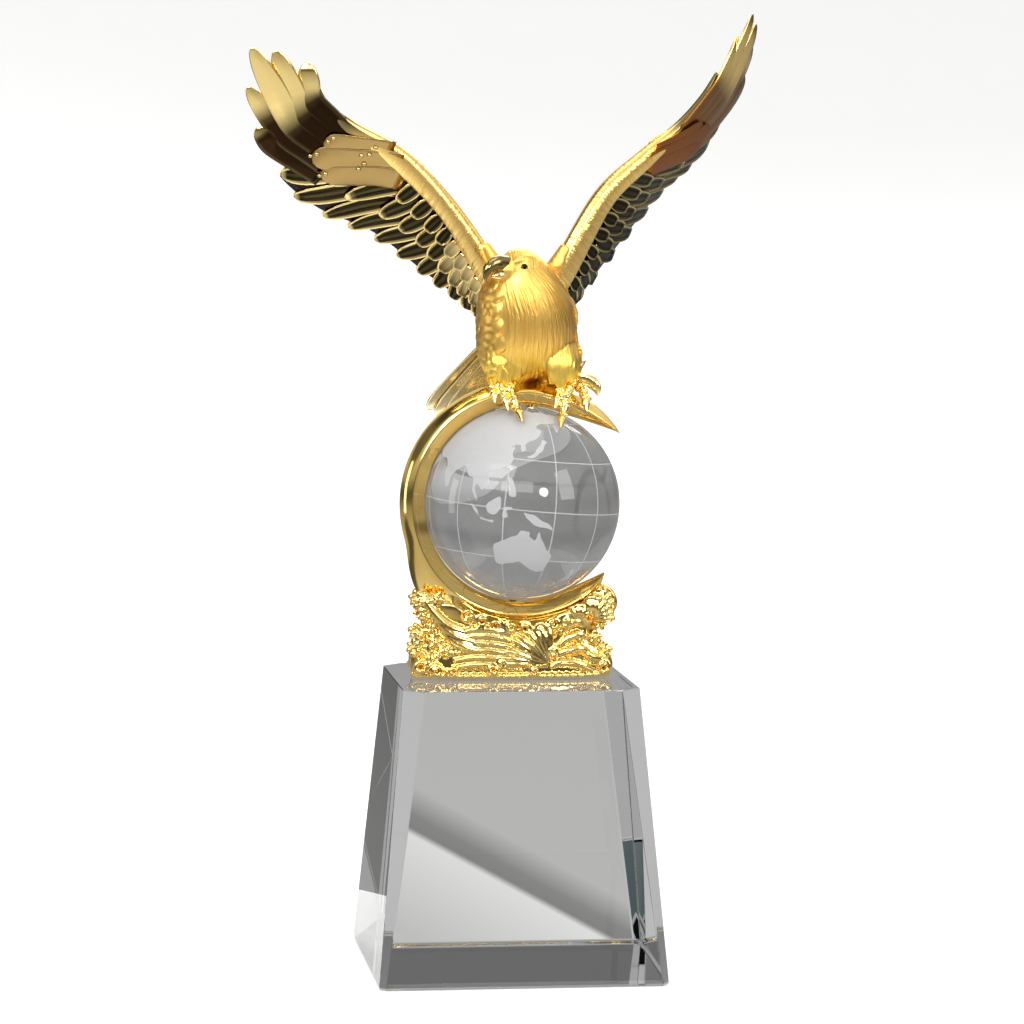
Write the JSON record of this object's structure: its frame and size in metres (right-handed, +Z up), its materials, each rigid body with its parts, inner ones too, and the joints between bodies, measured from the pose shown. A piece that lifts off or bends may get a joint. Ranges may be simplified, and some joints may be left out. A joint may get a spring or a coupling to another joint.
{
  "type": "eagle and globe trophy",
  "caption": "Award trophy: gilt eagle landing on a crescent arm that holds a turning crystal globe, over a cast wave base on a tapered clear crystal block.",
  "frame": {"origin": "centre of the crystal block's underside, where the trophy stands", "axes": "+Z up through the globe and the eagle, -Y out of the front face, +X to the right seen from the front"},
  "size_m": [0.1631, 0.088, 0.2949],
  "materials": {
    "clear_crystal": "polished clear crystal",
    "globe_crystal": "polished crystal with frosted land and grid lines",
    "polished_gilt": "mirror-bright gold plate",
    "satin_gilt": "satin gold plate on the body, bright on the feathers",
    "pin_metal": "dull bronze"
  },
  "bodies": {
    "stand": {"crystal_block": "clear_crystal", "wave_base_and_arm": "polished_gilt", "upper_pin": "pin_metal", "lower_pin": "pin_metal", "eagle": "satin_gilt"},
    "globe": {"globe": "globe_crystal"}
  },
  "joints": [
    {"name": "globe_spin", "type": "hinge", "parent": "stand", "child": "globe", "pos_m": [0.0036, 0, 0.1426], "axis": [0.0872, 0, 0.9962], "continuous": true}
  ]
}
